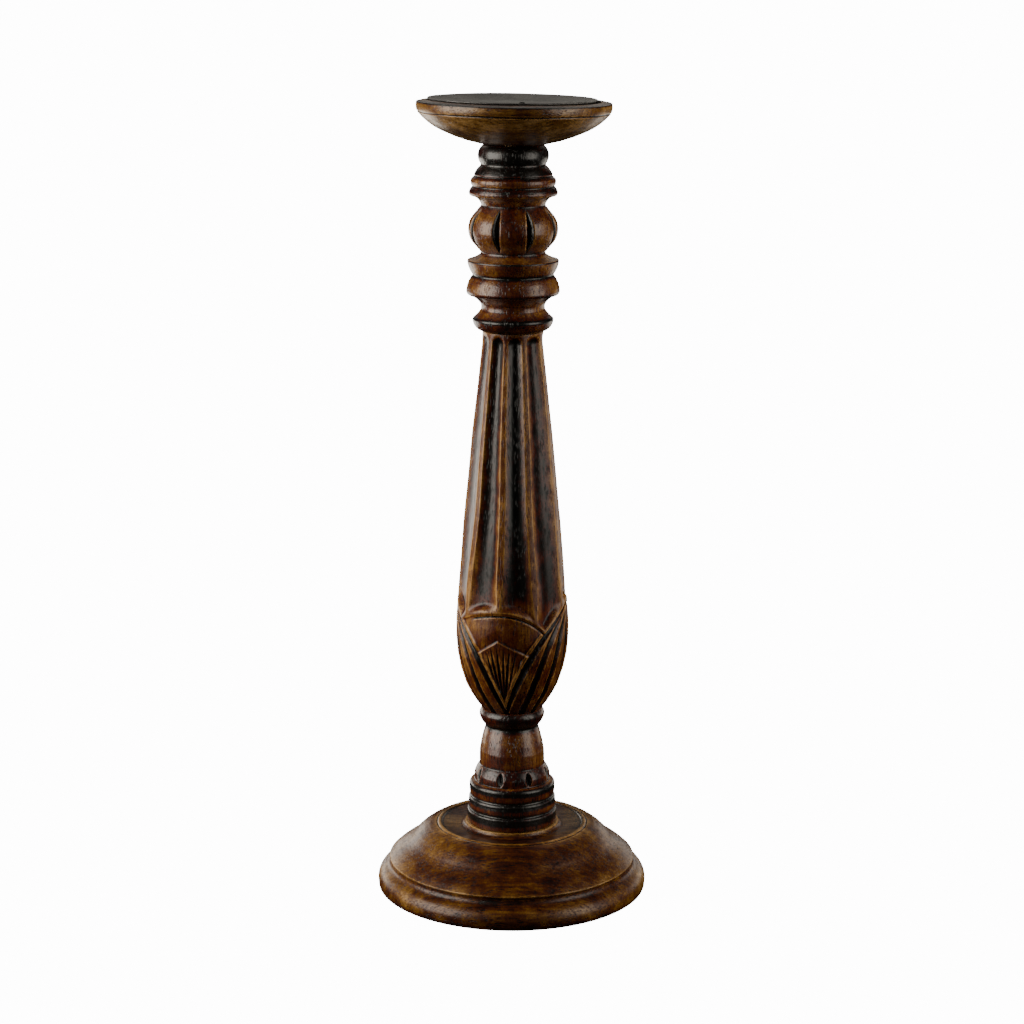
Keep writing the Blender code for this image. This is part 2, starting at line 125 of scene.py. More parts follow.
VEINS = (  # degrees off the middle for each millimetre up, and width
    (-0.55, 1.2),
    (-0.41, 1.9),
    (-0.28, 2.2),
    (-0.13, 2.3),
    (0.02, 1.7),
    (0.16, 2.0),
    (0.32, 1.3),
    (0.5, 1.0),
)

# Camera, in millimetres of lens, metres of place and degrees
LENS = 89.38
SENSOR = 36.0
CAMERA_PLACE = (-0.0003, -1.4103, 0.5428)
CAMERA_TILT = 12.717  # looking down
CAMERA_ROLL = 0.14

LAMP_COLOUR = (1.0, 0.94, 0.84)
WORLD_STRENGTH = 0.015
FLOOR_GLOW = 14.0  # how brightly the floor shines for the camera
FLOOR_RADIUS = 30.0  # metres


def outline(start, *runs):
    """Points (radius, height) of an outline that goes from start through each run.

    A run (radius, height) is straight. A run (radius, height, bulge) is an arc whose middle stands
    that far off its chord, to the right of the way it runs.
    """
    points = [start]
    for run in runs:
        r0, z0 = points[-1]
        r1, z1 = run[:2]
        bulge = run[2] if len(run) > 2 else 0.0
        if not bulge:
            points.append((r1, z1))
            continue
        chord = math.hypot(r1 - r0, z1 - z0)
        radius = (chord**2 / 4 + bulge**2) / (2 * abs(bulge))
        half = math.asin(min(1.0, chord / (2 * radius)))
        side = math.copysign(1.0, bulge)
        along = Vector((r1 - r0, z1 - z0)) / chord
        right = Vector((along.y, -along.x)) * side
        centre = Vector((r0 + r1, z0 + z1)) / 2 - right * (radius - abs(bulge))
        count = max(3, round(math.degrees(2 * half) / ARC_STEP))
        for step in range(1, count + 1):
            turn = half * (2 * step / count - 1)
            point = centre + radius * (math.cos(turn) * right + math.sin(turn) * along)
            points.append((point.x, point.y))
    return points


def eased(points, reach=ARRIS):
    """The outline with each sharp corner replaced by a small round."""
    soft = [points[0]]
    for before, corner, after in zip(points, points[1:], points[2:]):
        a = Vector(before) - Vector(corner)
        b = Vector(after) - Vector(corner)
        if math.degrees((-a).angle(b)) < SHARP_TURN:
            soft.append(corner)
            continue
        p0 = Vector(corner) + a.normalized() * min(reach, a.length * 0.45)
        p2 = Vector(corner) + b.normalized() * min(reach, b.length * 0.45)
        for share in (0.0, 0.25, 0.5, 0.75, 1.0):
            middle = 2 * share * (1 - share) * Vector(corner)
            point = (1 - share) ** 2 * p0 + middle + share**2 * p2
            soft.append((point.x, point.y))
    soft.append(points[-1])
    return soft


def divided(points, step=ROW_STEP):
    """The outline with long runs cut into steps."""
    fine = [points[0]]
    for (r0, z0), (r1, z1) in zip(points, points[1:]):
        count = max(1, math.ceil(math.hypot(r1 - r0, z1 - z0) / step))
        for index in range(1, count + 1):
            share = index / count
            fine.append((r0 + (r1 - r0) * share, z0 + (z1 - z0) * share))
    return fine


def smooth(value, low, high):
    """0 below low, 1 above high, and an easy curve between."""
    share = np.clip((value - low) / (high - low), 0.0, 1.0)
    return share * share * (3.0 - 2.0 * share)


def wrap(angle, period):
    """The angle brought to within half a period of zero."""
    return (angle + period / 2) % period - period / 2


def waves(seed, reach, count=9):
    """A gentle irregular field over (angle, height): about -1 to 1, with waves about reach long."""
    pick = random.Random(seed)
    terms = []
    for _ in range(count):
        terms.append((pick.randint(1, 5), pick.uniform(-1, 1) * math.tau / reach, pick.uniform(0, math.tau)))

    def field(angle, height):
        total = 0.0
        for turns, rise, phase in terms:
            total = total + np.sin(np.radians(angle) * turns + height * rise + phase)
        return total / math.sqrt(count)

    return field


def shifted_rows(points, lengths, shift):
    """The grid read that far along its rows."""
    place = np.interp(lengths + shift, lengths, np.arange(len(lengths)))
    first = np.minimum(place.astype(int), len(lengths) - 2)
    share = (place - first)[:, None, None]
    return points[first] * (1 - share) + points[first + 1] * share


def shifted_columns(points, radii, shift):
    """The grid read that far around its columns."""
    rows, columns = points.shape[:2]
    step = shift * columns / (math.tau * np.maximum(radii, 1.0))
    place = np.arange(columns)[None, :] + step[:, None]
    first = np.floor(place).astype(int)
    share = (place - first)[..., None]
    row = np.arange(rows)[:, None]
    return points[row, first % columns] * (1 - share) + points[row, (first + 1) % columns] * share


def grid_normals(points):
    """The direction square to the surface at each point of a grid."""
    across = np.roll(points, -1, 1) - np.roll(points, 1, 1)
    along = np.gradient(points, axis=0)
    normals = np.cross(across, along)
    return normals / np.maximum(np.linalg.norm(normals, axis=2, keepdims=True), 1e-9)


def relief(points, normals, lengths, radii, window):
    """How far each point stands out from the surface around it, a plain round one being level."""
    along = (shifted_rows(points, lengths, window) + shifted_rows(points, lengths, -window)) / 2
    around = (shifted_columns(points, radii, window) + shifted_columns(points, radii, -window)) / 2
    level = (radii * (1 - np.cos(window / np.maximum(radii, window))))[:, None]
    flat = np.hypot(normals[..., 0], normals[..., 1])
    out = np.einsum("ijk,ijk->ij", points - along, normals)
    turn = np.einsum("ijk,ijk->ij", points - around, normals) - level * flat
    return out + turn


def mesh_from_grid(name, points, loop):
    """Mesh through a grid of rings. A loop joins the last ring to the first, or else both are capped."""
    rows, columns = points.shape[:2]
    index = np.arange(rows * columns).reshape(rows, columns)
    upper = np.roll(index, -1, 0) if loop else index[1:]
    lower = index if loop else index[:-1]
    quads = np.stack([lower, np.roll(lower, -1, 1), np.roll(upper, -1, 1), upper], axis=-1)
    faces = quads.reshape(-1, 4).tolist()
    if not loop:
        faces.append(index[0][::-1].tolist())
        faces.append(index[-1].tolist())
    mesh = bpy.data.meshes.new(name)
    mesh.from_pydata((points.reshape(-1, 3) * MM).tolist(), [], faces)
    mesh.shade_smooth()
    mesh.set_sharp_from_angle(angle=math.radians(CREASE))
    return mesh


def store(mesh, name, values):
    """Gives each point of the mesh a value that its material reads by name."""
    layer = mesh.attributes.new(name, "FLOAT", "POINT")
    layer.data.foreach_set("value", np.ascontiguousarray(values, np.float32).ravel())


def turned(name, surface, hidden, columns, shape=None, tones=((0.0, 0.4),), wobble=0.1, lean=None):
    """One turned section: a fine outer surface, and the hidden faces of its bores and seats.

    shape(angle, height, radius) gives how deep each point is cut and how much glaze it holds, which in
    the hollow of the base is painted shade. tones are pairs of a height and the glaze there, wobble is how
    uneven the surface is, and lean(points) moves the finished points. Painted shade darkens the front and
    back and lightens the sides. A section bored right through closes on itself.
    """
    rows = list(surface) + list(hidden)
    radius = np.array([r for r, _ in rows])
    height = np.array([z for _, z in rows])
    lengths = np.concatenate([[0.0], np.cumsum(np.hypot(np.diff(radius), np.diff(height)) + 1e-6)])
    out_r = np.gradient(height, lengths)
    out_z = -np.gradient(radius, lengths)
    size = np.maximum(np.hypot(out_r, out_z), 1e-6)
    worked = (np.arange(len(rows)) < len(surface)).astype(float)[:, None]
    angles = np.arange(columns) * 360.0 / columns
    angle, high = np.meshgrid(angles, height)
    depth = np.zeros_like(angle)
    glaze = np.zeros_like(angle)
    if shape:
        # the second value is glaze, and painted shade in the hollow of the base
        depth, glaze = shape(angle, high, radius[:, None])
    uneven = wobble * waves(name, 38.0)(angle, high)
    move = (uneven - depth) * worked
    r = radius[:, None] + move * (out_r / size)[:, None]
    z = height[:, None] + move * (out_z / size)[:, None]
    turn = np.radians(angle)
    points = np.stack([r * np.sin(turn), -r * np.cos(turn), z], axis=-1)
    normals = grid_normals(points)
    near = relief(points, normals, lengths, radius, EDGE_WINDOW)
    wide = relief(points, normals, lengths, radius, HOLLOW_WINDOW)
    if lean:
        points = lean(points)
    loop = hidden and hidden[-1][0] > 1.0
    mesh = mesh_from_grid(name, points, loop)
    store(mesh, "edge", smooth(near, 0.03, 0.22) * worked)
    store(mesh, "hollow", np.maximum(smooth(-near, 0.02, 0.2), 0.5 * smooth(-wide, 0.1, 1.1)) * worked)
    stops, values = zip(*tones)
    # painted shade: darker at the front and back, lighter at the sides that face the lamps
    painted_shade = PAINTED_SHADE_FRONT_BACK * np.cos(np.radians(2 * angle))
    store(mesh, "stain_and_painted_shade", np.interp(high, stops, values) + glaze + painted_shade)
    return bpy.data.objects.new(name, mesh)


class Surface:
    """A material and its node tree, with a short call for each kind of node."""

    def __init__(self, name):
        self.material = bpy.data.materials.new(name)
        self.material.use_nodes = True
        self.tree = self.material.node_tree
        self.shader = self.tree.nodes["Principled BSDF"]

    def feed(self, socket, value):
        """Links the value if it comes from a node, and sets it otherwise."""
        if isinstance(value, bpy.types.NodeSocket):
            self.tree.links.new(value, socket)
        else:
            socket.default_value = value

    def add(self, kind, settings=None, **inputs):
        node = self.tree.nodes.new(kind)
        for key, value in (settings or {}).items():
            setattr(node, key, value)
        for key, value in inputs.items():
            self.feed(node.inputs[key.replace("_", " ")], value)
        return node

    def math(self, operation, a, b=0.0, clamp=False):
        node = self.add("ShaderNodeMath", {"operation": operation, "use_clamp": clamp})
        self.feed(node.inputs[0], a)
        self.feed(node.inputs[1], b)
        return node.outputs[0]

    def spread(self, value, low, high, start=0.0, end=1.0):
        """The value's stretch from low to high, carried over to start to end."""
        node = self.add("ShaderNodeMapRange", {"interpolation_type": "SMOOTHSTEP"}, Value=value)
        node.inputs["From Min"].default_value = low
        node.inputs["From Max"].default_value = high
        node.inputs["To Min"].default_value = start
        node.inputs["To Max"].default_value = end
        return node.outputs[0]

    def mix(self, share, a, b):
        node = self.add("ShaderNodeMix", {"data_type": "RGBA"})
        self.feed(node.inputs[0], share)
        self.feed(node.inputs[6], a)
        self.feed(node.inputs[7], b)
        return node.outputs[2]

    def place(self, scale=(1.0, 1.0, 1.0), offset=(0.0, 0.0, 0.0)):
        """Position on the object, in millimetres, stretched along an axis whose scale is small."""
        spot = self.add("ShaderNodeTexCoord").outputs["Object"]
        mapping = self.add("ShaderNodeMapping", Vector=spot)
        mapping.inputs["Scale"].default_value = [value / MM for value in scale]
        mapping.inputs["Location"].default_value = offset
        return mapping.outputs[0]

    def noise(self, vector, size, detail=4.0, rough=0.55, distortion=0.0):
        """Noise from 0 to 1 whose features are about size millimetres across."""
        node = self.add("ShaderNodeTexNoise", Vector=vector, Scale=1.0 / size, Detail=detail, Roughness=rough)
        node.inputs["Distortion"].default_value = distortion
        return node.outputs[0]

    def cells(self, vector, size):
        return self.add("ShaderNodeTexVoronoi", Vector=vector, Scale=1.0 / size)

    def attribute(self, name):
        return self.add("ShaderNodeAttribute", {"attribute_name": name}).outputs["Fac"]

    def ramp(self, value, stops):
        node = self.add("ShaderNodeValToRGB", Fac=value)
        elements = node.color_ramp.elements
        while len(elements) < len(stops):
            elements.new(0.5)
        for element, (place, colour) in zip(elements, stops):
            element.position = place
            element.color = (*colour, 1.0)
        return node.outputs["Color"]

    def bump(self, height, distance):
        return self.add("ShaderNodeBump", Height=height, Distance=distance * MM).outputs[0]

    def set(self, **inputs):
        for key, value in inputs.items():
            self.feed(self.shader.inputs[key.replace("_", " ")], value)


# Stains, from rubbed bare to full glaze
RED_BROWN = (
    (0.0, (0.21, 0.105, 0.028)),
    (0.2, (0.105, 0.043, 0.0065)),
    (0.36, (0.066, 0.0215, 0.0028)),
    (0.52, (0.044, 0.0072, 0.0014)),
    (0.72, (0.015, 0.0015, 0.0008)),
    (0.9, (0.003, 0.0009, 0.0007)),
    (1.0, (0.0012, 0.0008, 0.0007)),
)
OLIVE_BROWN = (
    (0.0, (0.2, 0.11, 0.035)),
    (0.2, (0.104, 0.049, 0.0075)),
    (0.36, (0.066, 0.0255, 0.0027)),
    (0.52, (0.036, 0.0085, 0.0014)),
    (0.72, (0.012, 0.0018, 0.0009)),
    (0.9, (0.003, 0.0009, 0.0007)),
    (1.0, (0.0012, 0.0008, 0.0007)),
)


def stained_wood(name, grain, offset, stain=RED_BROWN, dullness=0.2, lacquer=0.9, patch=9.0, rub=0.42):
    """Open-pored wood under brown stain, a dark glaze and satin lacquer.

    grain is the axis the fibres run along, and offset picks another piece of the tree. dullness and
    lacquer are the roughness and the weight of the clear coat. patch is the size of a dark patch, and
    rub is how far the glaze is worn off an arris.
    """
    look = Surface(name)
    long_grain = [1.0, 1.0, 1.0]
    long_grain["xyz".index(grain)] = 0.07
    fibres = look.place(long_grain, offset)
    plain = look.place(offset=offset)
    figure = look.noise(fibres, 7.0, 3.0, 0.55, 0.6)
    streaks = look.noise(fibres, 1.3, 5.0, 0.65)
    mottle = look.noise(plain, patch, 5.0, 0.6)
    speckle = look.noise(plain, 1.1, 3.0, 0.6)
    slot = [1.0, 1.0, 1.0]
    slot["xyz".index(grain)] = 0.16
    pore_cells = look.cells(look.place(slot, offset), 0.9)
    pores = look.spread(pore_cells.outputs["Distance"], 0.42, 0.2)
    chosen = look.spread(look.noise(fibres, 2.6, 2.0), 0.4, 0.54)
    pores = look.math("MULTIPLY", pores, chosen)

    edge = look.attribute("edge")
    hollow = look.attribute("hollow")
    # stain depth from the heights and glaze, with the painted shade of the front, back and base hollow
    stain_and_painted_shade = look.attribute("stain_and_painted_shade")
    depth = look.math("ADD", stain_and_painted_shade, look.spread(figure, 0.2, 0.8, -0.13, 0.13))
    depth = look.math("ADD", depth, look.spread(streaks, 0.25, 0.75, -0.14, 0.14))
    depth = look.math("ADD", depth, look.spread(mottle, 0.3, 0.7, -0.17, 0.17))
    depth = look.math("ADD", depth, look.spread(speckle, 0.3, 0.7, -0.07, 0.07))
    patchy = look.spread(speckle, 0.25, 0.7, 0.55, 1.0)
    ragged = look.spread(streaks, 0.4, 0.6, 0.22, 0.5)
    depth = look.math("ADD", depth, look.math("MULTIPLY", hollow, ragged))
    rubbed = look.math("MULTIPLY", look.math("MULTIPLY", edge, patchy), -rub)
    depth = look.math("ADD", depth, rubbed)
    depth = look.math("ADD", depth, look.math("MULTIPLY", pores, 0.34), clamp=True)
    colour = look.ramp(depth, stain)

    rough = look.spread(streaks, 0.2, 0.8, 0.3, 0.44)
    rough = look.math("ADD", rough, look.math("MULTIPLY", edge, 0.08))
    height = look.math("ADD", look.math("MULTIPLY", streaks, 0.35), look.math("MULTIPLY", pores, -0.8))
    height = look.math("ADD", height, look.math("MULTIPLY", mottle, 0.25))
    look.set(Base_Color=colour, Roughness=rough, IOR=1.3, Normal=look.bump(height, 0.09))
    film = look.math("ADD", look.math("MULTIPLY", mottle, 0.4), look.math("MULTIPLY", streaks, 0.45))
    film = look.math("ADD", film, look.math("MULTIPLY", speckle, 0.4))
    film = look.math("ADD", film, look.math("MULTIPLY", pores, -0.7))
    look.set(Coat_Weight=lacquer, Coat_Roughness=dullness, Coat_IOR=1.5, Coat_Normal=look.bump(film, 0.15))
    return look.material


def finished(piece, material, node):
    """Puts a piece in the scene in place of its CAD node."""
    piece.data.materials.append(material)
    bpy.context.scene.collection.objects.link(piece)
    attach(piece, BODY)
    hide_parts(node)


def gouges(angles, low, high, width, depth):
    """Cut of V-shaped notches that run up a round surface and fade at both ends."""

    def shape(angle, height, radius):
        share = np.clip((height - low) / (high - low), 0.0, 1.0)
        fade = np.sin(math.pi * share) ** 0.6
        total = np.zeros_like(angle)
        for spot in angles:
            away = np.abs(wrap(angle - spot, 360.0)) * radius * math.pi / 180
            total = np.maximum(total, depth * fade * np.clip(1 - away / (0.5 * width * fade + 1e-6), 0, 1))
        return total, 1.2 * smooth(total, 0.1, 0.8)

    return shape


def around(count, phase):
    """Angles of equal spacing all the way round."""
    return [phase + 360.0 / count * index for index in range(count)]


def make_base():
    points = outline(
        (COUNTERBORE_RADIUS, BASE_BOTTOM),
        (76.7, BASE_BOTTOM),
        (77.9, BASE_BOTTOM + 1.2, 0.3),
        (78.2, 6.4),
        (73.05, 14.2, 1.5),
        (72.6, 14.5),
        (70.9, 18.7, -0.8),
        (71.5, 19.6),
        (62.0, 26.8, 0.4),
        (56.6, 31.8, -0.25),
        (44.2, 39.8, 1.0),
        (43.4, 39.5),
        (41.7, 40.4, 0.3),
        (40.4, 39.4, 0.2),
        (30.0, 38.2, -0.3),
        (28.4, 38.6, -0.2),
        (26.9, BASE_SEAT, -0.4),
        (24.0, BASE_SEAT),
    )
    surface = divided(eased(points), 0.7)
    mortise = TENON_RADIUS + FIT
    hidden = [
        (mortise, BASE_SEAT),
        (mortise, TENON_END - FIT),
        (SCREW_BORE, TENON_END - FIT),
        (SCREW_BORE, COUNTERBORE_TOP),
        (COUNTERBORE_RADIUS, COUNTERBORE_TOP),
    ]
    tones = (
        (2, 1.0), (5, 0.45), (12, 0.36), (15, 0.45), (19, 0.36), (26, 0.5), (34, 0.48), (39, 0.44),
        (41, 0.12),
    )

    def painted_shade_in_hollow(angle, height, radius):
        """Painted shade in the hollow round the stem, darker at the front and back than at its sides."""
        within = smooth(41.2 - radius, 0.0, 1.0) * smooth(radius - 28.8, 0.0, 1.2)
        return np.zeros_like(angle), within * (0.1 + 0.25 * np.cos(np.radians(2 * angle)))

    piece = turned("base_foot", surface, hidden, 320, painted_shade_in_hollow, tones, wobble=0.12)
    wood = stained_wood("foot wood", "x", (3.0, 7.0, 1.0), OLIVE_BROWN, 0.25, 0.42, 15.0, 0.26)
    finished(piece, wood, "base")


def make_lower_stem():
    neck = outline((18.8, 75.8), (18.7, 84.0, 0.05), (15.25, 98.6, 0.34))
    notched = outline((21.8, 66.4), (21.75, 70.4, 0.1), neck[0] + (0.35,))
    rings = outline(
        (13.0, STEM_SEAT),
        (25.7, STEM_SEAT),
        (25.9, 47.4, 0.2),
        (24.8, 49.0, 0.4),
        (24.6, 49.6),
        (25.2, 50.6, 0.1),
        (25.1, 54.8, 0.15),
        (24.1, 56.9, 0.4),
        (23.9, 57.5),
        (24.5, 58.4, 0.1),
        (24.7, 63.2, 0.15),
        (23.2, 65.8, 0.5),
        notched[0],
    )
    bead = outline((15.2, 99.4), (18.3, 103.9, 0.4), (17.8, 108.8, 0.75), (17.3, STEM_TOP), (10.0, STEM_TOP))
    surface = divided(eased(rings + notched[1:] + neck[1:] + bead, 0.3))
    hidden = [
        (DOWEL_BORE, STEM_TOP),
        (DOWEL_BORE, STEM_TOP - DOWEL_BORE_DEPTH),
        (SCREW_BORE, STEM_TOP - DOWEL_BORE_DEPTH),
        (SCREW_BORE, TENON_END),
        (TENON_RADIUS, TENON_END),
    ]
    tones = (
        (41, 0.95), (42.5, 0.5), (44, 0.6), (45, 1.1), (50, 1.1), (51.5, 0.45), (53.2, 0.5),
        (54, 1.15), (58, 1.1), (59, 0.45), (61.4, 0.48), (62.2, 1.1), (65.2, 1.1), (66, 0.24),
        (67.5, 0.6), (74, 0.75), (76, 0.5), (79, 0.38), (96, 0.36), (99, 0.9), (100.5, 0.85),
        (104, 0.7), (109, 0.85),
    )
    cuts = gouges(around(NOTCH_COUNT, -18.0), 66.6, 74.8, 4.2, 2.0)
    piece = turned("stem_turning", surface, hidden, 256, cuts, tones, wobble=0.07)
    wood = stained_wood("stem wood", "z", (11.0, 2.0, 5.0))
    finished(piece, wood, "lower_stem")


def shaft_outline():
    return outline(
        (17.2, SHAFT_BOTTOM),
        (26.6, 124.8, 0.6),
        (32.3, 152.8, 1.2),
        (31.9, 168.0, 0.15),
        (17.2, 322.0, 1.0),
        (17.1, SHAFT_TOP),
    )


def leaf_share(height):
    """How far up the leaves a height is: 0 at their foot, 1 at their tips."""
    return np.clip((height - LEAF_FOOT) / (LEAF_TIP - LEAF_FOOT), 0.0, 1.0)


def leaf_edge(height):
    """Degrees from the middle of a fan to the pointed leaf beside it, at a height."""
    share = leaf_share(height)
    return 45.0 * share + 45.0 * share**5


def leaf_edge_slope(height):
    """Degrees by which that edge goes outwards for each millimetre up."""
    return (45.0 + 225.0 * leaf_share(height) ** 4) / (LEAF_TIP - LEAF_FOOT)


def arch_top(offset):
    """Height of the fan's arched upper edge, which falls less on its left."""
    fall = np.where(offset < 0, ARCH_FALL_LEFT, ARCH_FALL)
    return ARCH_PEAK - fall * offset**2


def leaf_top(offset):
    """Height of the upper edge of the leaves at an angle off the middle of a fan."""
    heights = np.linspace(LEAF_FOOT, LEAF_TIP, 129)
    pointed = np.interp(np.abs(offset), leaf_edge(heights), heights)
    return np.maximum(arch_top(offset), pointed)


def groove(distance, width):
    """Cross-section of a V-cut, 1 in its middle and 0 from half its width on."""
    return np.clip(1.0 - np.abs(distance) / (width / 2), 0.0, 1.0)


def carve_flutes(angle, offset, above, height):
    """Depth and glaze of the flutes, above the leaves."""
    spacing = 360.0 / FLUTE_COUNT
    stray = smooth(height, LEAF_TIP, LEAF_TIP + DRIFT_RUN)
    waver = waves("ridges", 120.0)(angle, height) * 0.5
    ridge = RIDGE_HALF_WIDTH * np.sqrt(np.clip(above / RIDGE_RUN, 0.0, 1.0))
    across = np.ones_like(angle)
    for index in range(FLUTE_COUNT):
        left = FLUTE_PHASE + spacing * index + RIDGE_DRIFT[index] * stray
        right = FLUTE_PHASE + spacing * (index + 1) + RIDGE_DRIFT[(index + 1) % FLUTE_COUNT] * stray
        away = np.abs(wrap(angle + waver - (left + right) / 2, 360.0))
        across = np.minimum(across, away / ((right - left) / 2 - ridge))
    rounded_end = np.clip((height - SHAFT_TOP + 5.5) / 4.0, 0.0, 1.0)
    scoop = np.clip(1.0 - across**2 - rounded_end**2, 0.0, 1.0)
    lip = 1.0 + 1.2 * smooth(-offset, 2.0, 34.0)
    run_in = smooth(above, lip, lip + 5.0)
    most = np.interp(height, (LEAF_TIP, SHAFT_TOP), (FLUTE_DEPTH_FOOT, FLUTE_DEPTH_TOP))
    cut = scoop * run_in
    dark = smooth(scoop, 0.12, 0.9) * smooth(above, 2.0, 16.0)
    return most * cut, 0.58 * dark


def carve_pointed_leaf(offset, height, beside, channel, degree, square):
    """Depth of the ribs of a pointed leaf, from the channel at its border to its middle."""
    half_width = np.maximum(90.0 - leaf_edge(height), 0.5)
    within = np.clip((90.0 - np.abs(offset)) / half_width, 0.0, 1.2)
    ribs = np.zeros_like(within)
    for spot in LEAF_RIBS:
        distance = (within - spot) * half_width * degree / square
        wide = np.clip(0.15 * half_width * degree, 1.2, 4.6)
        ribs = np.maximum(ribs, 0.28 * wide * groove(distance, wide) ** 0.8)
    return ribs * (beside > channel * 0.8) * smooth(LEAF_TIP - height, 1.0, 8.0)


def carve_small_leaf(offset, height, beside, degree):
    """Depth of the veins of the small leaf inside a fan, and of the step round it."""
    aside = offset - INNER_MIDDLE
    fall = np.where(aside < 0, INNER_FALL_LEFT, INNER_FALL_RIGHT)
    below = INNER_PEAK - np.abs(aside) * fall - height
    inside = (beside < -FAN_BORDER) & (below > 0)
    reach = np.maximum(height - LEAF_FOOT + 4.0, 1.0)
    veins = np.zeros_like(offset)
    for spot, most in VEINS:
        line = offset - spot * reach
        wide = most * np.sin(math.pi * np.clip((reach - 6.0) / 42.0, 0, 1)) + 0.2
        veins = np.maximum(veins, 0.38 * wide * groove(line * degree, wide))
    veins = veins * inside * smooth(below, 1.0, 4.0)
    step = 0.7 * smooth(-below, 0.0, 0.7) * (beside < 0) * (1 - smooth(-below, 0.7, 8.0))
    return veins, step


def carve_leaves(offset, height, radius):
    """Depth and glaze of the fans and the pointed leaves."""
    degree = radius * math.pi / 180
    square = np.sqrt(1 + (leaf_edge_slope(height) * degree) ** 2)
    edge = leaf_edge(height)
    beside = (np.abs(offset) - edge) * degree / square
    channel = 1.9 + 2.6 * np.sin(math.pi * leaf_share(height))
    split = 1.5 * groove(beside - 0.3 * channel, channel) ** 0.7
    ribs = carve_pointed_leaf(offset, height, beside, channel, degree, square)
    veins, step = carve_small_leaf(offset, height, beside, degree)
    within_border = smooth(-beside, FAN_BORDER, FAN_BORDER + 1.0)
    sunk = 0.4 * within_border * (beside < 0)
    reached = smooth(offset, -40.0, -30.0) * (np.abs(offset) < edge)
    under_arch = groove(height - arch_top(offset) + 1.1, 1.9) * reached
    depth = np.maximum.reduce([split, ribs, veins + sunk, under_arch, step + sunk])
    glaze = 0.5 * smooth(np.maximum.reduce([split, ribs, veins * 1.4, under_arch]), 0.15, 0.7)
    glaze -= 0.22 * (1 - within_border) * smooth(-beside, 0.2, 0.8)
    return depth, glaze


def carve_shaft(angle, height, radius):
    """Depth and glaze of the whole shaft. Its two fans face opposite ways."""
    offset = wrap(angle - FAN_PHASE, 180.0)
    above = height - leaf_top(offset)
    flutes, dark_flutes = carve_flutes(angle, offset, above, height)
    leaves, dark_leaves = carve_leaves(offset, height, radius)
    free = above > 0
    fade = leaves * smooth(-above, -1.2, 0.2)
    return np.where(free, np.maximum(flutes, fade), leaves), np.where(free, dark_flutes, dark_leaves)


def make_fluted_shaft():
    profile = shaft_outline()
    carved = np.arange(SHAFT_BOTTOM, LEAF_TIP + 4, CARVED_STEP)
    heights = np.concatenate([carved, np.linspace(LEAF_TIP + 4, SHAFT_TOP, 120)])
    radii = np.interp(heights, [z for _, z in profile], [r for r, _ in profile])
    surface = [(CORE, SHAFT_BOTTOM), (16.0, SHAFT_BOTTOM)] + list(zip(radii, heights))
    bore_end = SHAFT_TOP - DOWEL_BORE_DEPTH
    hidden = [(DOWEL_BORE, SHAFT_TOP), (DOWEL_BORE, bore_end), (CORE, bore_end)]
    tones = (
        (110, 0.6), (114, 0.45), (130, 0.4), (165, 0.34), (176, 0.28), (200, 0.26), (322, 0.28),
        (329, 0.5),
    )
    piece = turned("shaft_carving", surface, hidden, 512, carve_shaft, tones, wobble=0.08)
    wood = stained_wood("shaft wood", "z", (5.0, 13.0, 2.0), RED_BROWN, 0.17, 0.42)
    finished(piece, wood, "fluted_shaft")


def make_capital():
    melon = outline((17.95, 373.0), (22.9, 378.8), (22.9, 392.7, 2.15), (17.85, 398.8))
    lower = outline(
        (10.0, CAPITAL_BOTTOM),
        (17.4, CAPITAL_BOTTOM),
        (22.6, 334.6, 1.2),
        (22.3, 336.2, 0.2),
        (18.0, 340.8, -0.2),
        (18.0, 344.0, -0.2),
        (24.9, 349.2, -0.9),
        (26.1, 351.6, 0.4),
        (22.85, 359.8, 0.7),
        (22.6, 360.4),
        (22.9, 361.0),
        (25.6, 368.1, 0.5),
        (25.3, 368.7),
        (18.3, 371.9, -0.4),
        melon[0],
    )
    upper = outline(
        (18.0, 399.5),
        (23.4, 404.1, -1.0),
        (24.6, 405.4, 0.3),
        (24.4, 406.9, 0.15),
        (22.9, 409.1, 0.2),
        (22.8, 409.6),
        (23.6, 411.2, 0.2),
        (23.4, 413.4, 0.2),
        (21.5, 415.2, 0.1),
        (21.9, 415.8),
        (18.2, 420.8, 0.4),
        (18.2, 421.8),
        (17.5, 431.6, 1.9),
        (17.2, CAPITAL_TOP),
        (8.0, CAPITAL_TOP),
    )
    lower_bore_end = CAPITAL_BOTTOM + DOWEL_BORE_DEPTH
    upper_bore_end = CAPITAL_TOP - DISH_DOWEL_BORE_DEPTH
    lower_bore = [(CORE, lower_bore_end), (DOWEL_BORE, lower_bore_end), (DOWEL_BORE, CAPITAL_BOTTOM)]
    surface = lower_bore + divided(eased(lower + melon[1:] + upper, 0.3), 0.5)
    hidden = [(DISH_DOWEL_BORE, CAPITAL_TOP), (DISH_DOWEL_BORE, upper_bore_end), (CORE, upper_bore_end)]
    tones = (
        (329, 0.9), (331, 0.5), (334.2, 0.6), (334.8, 1.2), (336.2, 1.2), (337, 0.6), (340, 0.26),
        (345, 0.26), (348.6, 0.7), (350, 0.85), (352, 0.36), (358.5, 0.38), (360.4, 0.95),
        (362, 0.32), (367.6, 0.28), (368.0, 1.15), (368.5, 1.15), (368.8, 0.22), (372, 0.28),
        (373.5, 0.5), (376, 0.38), (395, 0.38), (398.5, 0.5), (400, 0.22), (403.5, 0.26),
        (405, 0.5), (407.5, 0.85), (409.6, 0.5), (411, 0.36), (413.4, 0.5), (415, 0.75),
        (416.2, 0.95), (420.3, 0.85), (421, 0.45), (422.3, 0.9), (432, 1.0),
    )
    cuts = gouges(around(NOTCH_COUNT, 22.5), 374.2, 397.6, 4.7, 3.0)
    piece = turned("capital_turning", surface, hidden, 320, cuts, tones, wobble=0.07)
    wood = stained_wood("capital wood", "z", (17.0, 4.0, 9.0))
    finished(piece, wood, "capital")


